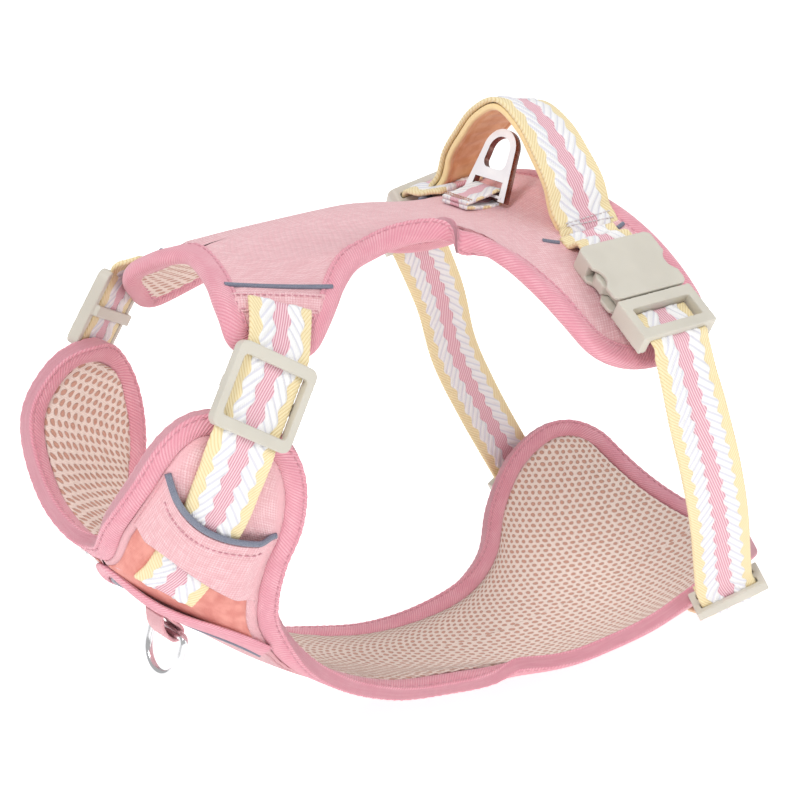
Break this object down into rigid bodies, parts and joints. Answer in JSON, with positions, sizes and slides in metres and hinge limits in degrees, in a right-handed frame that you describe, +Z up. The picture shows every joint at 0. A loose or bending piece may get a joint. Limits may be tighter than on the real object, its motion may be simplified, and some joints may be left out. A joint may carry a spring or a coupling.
{
  "type": "no pull dog harness",
  "caption": "Padded step-in dog harness with back and chest panels, webbing straps, side-release buckles, top handle and leash rings on back and chest.",
  "frame": {"origin": "centre of the dog's trunk inside the harness, on the midplane between the back and chest panels", "axes": "+X to the dog's left, +Y to the dog's tail, +Z up along the dog's height"},
  "size_m": [0.1978, 0.3409, 0.2461],
  "materials": {
    "shell_fabric": "pink plain-woven fabric",
    "foam": "soft foam core",
    "mesh_lining": "air mesh with oval holes",
    "binding": "ribbed edge tape",
    "reflective_trim": "grey reflective piping",
    "webbing": "striped and braided webbing",
    "handle_padding": "soft peach padding",
    "buckle_plastic": "satin moulded plastic",
    "ring_white": "white coated face, polished edges",
    "steel": "polished wire"
  },
  "bodies": {
    "harness": {"back_shell": "shell_fabric", "back_foam": "foam", "back_lining": "mesh_lining", "back_binding": "binding", "chest_shell": "shell_fabric", "chest_foam": "foam", "chest_lining": "mesh_lining", "chest_binding": "binding", "left_shoulder_patch": "shell_fabric", "right_shoulder_patch": "shell_fabric", "left_shoulder_piping": "reflective_trim", "right_shoulder_piping": "reflective_trim", "left_rear_piping": "reflective_trim", "right_rear_piping": "reflective_trim", "ring_tab": "webbing", "left_socket_tab": "webbing", "right_socket_tab": "webbing", "left_buckle_socket": "buckle_plastic", "right_buckle_socket": "buckle_plastic", "left_girth_strap": "webbing", "right_girth_strap": "webbing", "left_belly_tab": "webbing", "right_belly_tab": "webbing", "left_neck_strap": "webbing", "right_neck_strap": "webbing", "left_pocket": "shell_fabric", "right_pocket": "shell_fabric", "left_pocket_trim": "reflective_trim", "right_pocket_trim": "reflective_trim", "front_cover": "shell_fabric", "cover_binding": "binding", "front_ring_tab": "webbing"},
    "handle": {"handle_webbing": "webbing", "handle_pad": "handle_padding"},
    "back_ring": {"back_ring": "ring_white"},
    "front_ring": {"front_ring": "steel"},
    "left_neck_slider": {"left_neck_slider": "buckle_plastic"},
    "right_neck_slider": {"right_neck_slider": "buckle_plastic"},
    "left_girth_slider": {"left_girth_slider": "buckle_plastic"},
    "right_girth_slider": {"right_girth_slider": "buckle_plastic"},
    "left_plug": {"left_buckle_plug": "buckle_plastic"},
    "right_plug": {"right_buckle_plug": "buckle_plastic"},
    "left_front_arm": {"left_front_arm": "buckle_plastic"},
    "left_rear_arm": {"left_rear_arm": "buckle_plastic"},
    "right_front_arm": {"right_front_arm": "buckle_plastic"},
    "right_rear_arm": {"right_rear_arm": "buckle_plastic"}
  },
  "joints": [
    {"name": "handle_lean", "type": "hinge", "parent": "harness", "child": "handle", "pos_m": [0, 0.076, 0.0755], "axis": [-1, 0, 0], "range_deg": [0, 8]},
    {"name": "back_ring_swing", "type": "hinge", "parent": "harness", "child": "back_ring", "pos_m": [0, 0.045, 0.077], "axis": [-1, 0, 0], "range_deg": [-60, 45]},
    {"name": "front_ring_swing", "type": "hinge", "parent": "harness", "child": "front_ring", "pos_m": [0, -0.114, -0.0635], "axis": [-1, 0, 0], "range_deg": [0, 70]},
    {"name": "left_neck_slide", "type": "slide", "parent": "harness", "child": "left_neck_slider", "axis": [-0.1342, 0.5657, 0.8136], "range_m": [-0.001, 0.003], "deforming": ["left_neck_strap"]},
    {"name": "right_neck_slide", "type": "slide", "parent": "harness", "child": "right_neck_slider", "axis": [0.065, 0.5346, 0.8426], "range_m": [-0.001, 0.003], "deforming": ["right_neck_strap"]},
    {"name": "left_girth_slide", "type": "slide", "parent": "harness", "child": "left_girth_slider", "axis": [-0.0202, -0.5144, 0.8573], "range_m": [0, 0.003], "deforming": ["left_girth_strap"]},
    {"name": "right_girth_slide", "type": "slide", "parent": "harness", "child": "right_girth_slider", "axis": [-0.1605, -0.4614, 0.8726], "range_m": [0, 0.003], "deforming": ["right_girth_strap"]},
    {"name": "left_buckle_release", "type": "slide", "parent": "harness", "child": "left_plug", "axis": [0.8636, -0.1028, -0.4935], "range_m": [0, 0.016], "deforming": ["left_girth_strap"]},
    {"name": "left_front_squeeze", "type": "hinge", "parent": "left_plug", "child": "left_front_arm", "pos_m": [0.08222, 0.04087, 0.05289], "axis": [-0.4842, 0.103, -0.8689], "range_deg": [0, 8], "stiffness_Nm_per_rad": 0.35},
    {"name": "left_rear_squeeze", "type": "hinge", "parent": "left_plug", "child": "left_rear_arm", "pos_m": [0.08538, 0.06323, 0.05377], "axis": [0.4842, -0.103, 0.8689], "range_deg": [0, 8], "stiffness_Nm_per_rad": 0.35},
    {"name": "right_buckle_release", "type": "slide", "parent": "harness", "child": "right_plug", "axis": [-0.6185, 0.3791, -0.6883], "range_m": [0, 0.016], "deforming": ["right_girth_strap"]},
    {"name": "right_front_squeeze", "type": "hinge", "parent": "right_plug", "child": "right_front_arm", "pos_m": [-0.07031, 0.05772, 0.04524], "axis": [-0.7367, 0.025, 0.6758], "range_deg": [0, 8], "stiffness_Nm_per_rad": 0.35},
    {"name": "right_rear_squeeze", "type": "hinge", "parent": "right_plug", "child": "right_rear_arm", "pos_m": [-0.06413, 0.07862, 0.0512], "axis": [0.7367, -0.025, -0.6758], "range_deg": [0, 8], "stiffness_Nm_per_rad": 0.35}
  ],
  "couplings": [
    {"joint": "left_rear_squeeze", "follows": "left_front_squeeze", "ratio": 1},
    {"joint": "right_rear_squeeze", "follows": "right_front_squeeze", "ratio": 1}
  ]
}
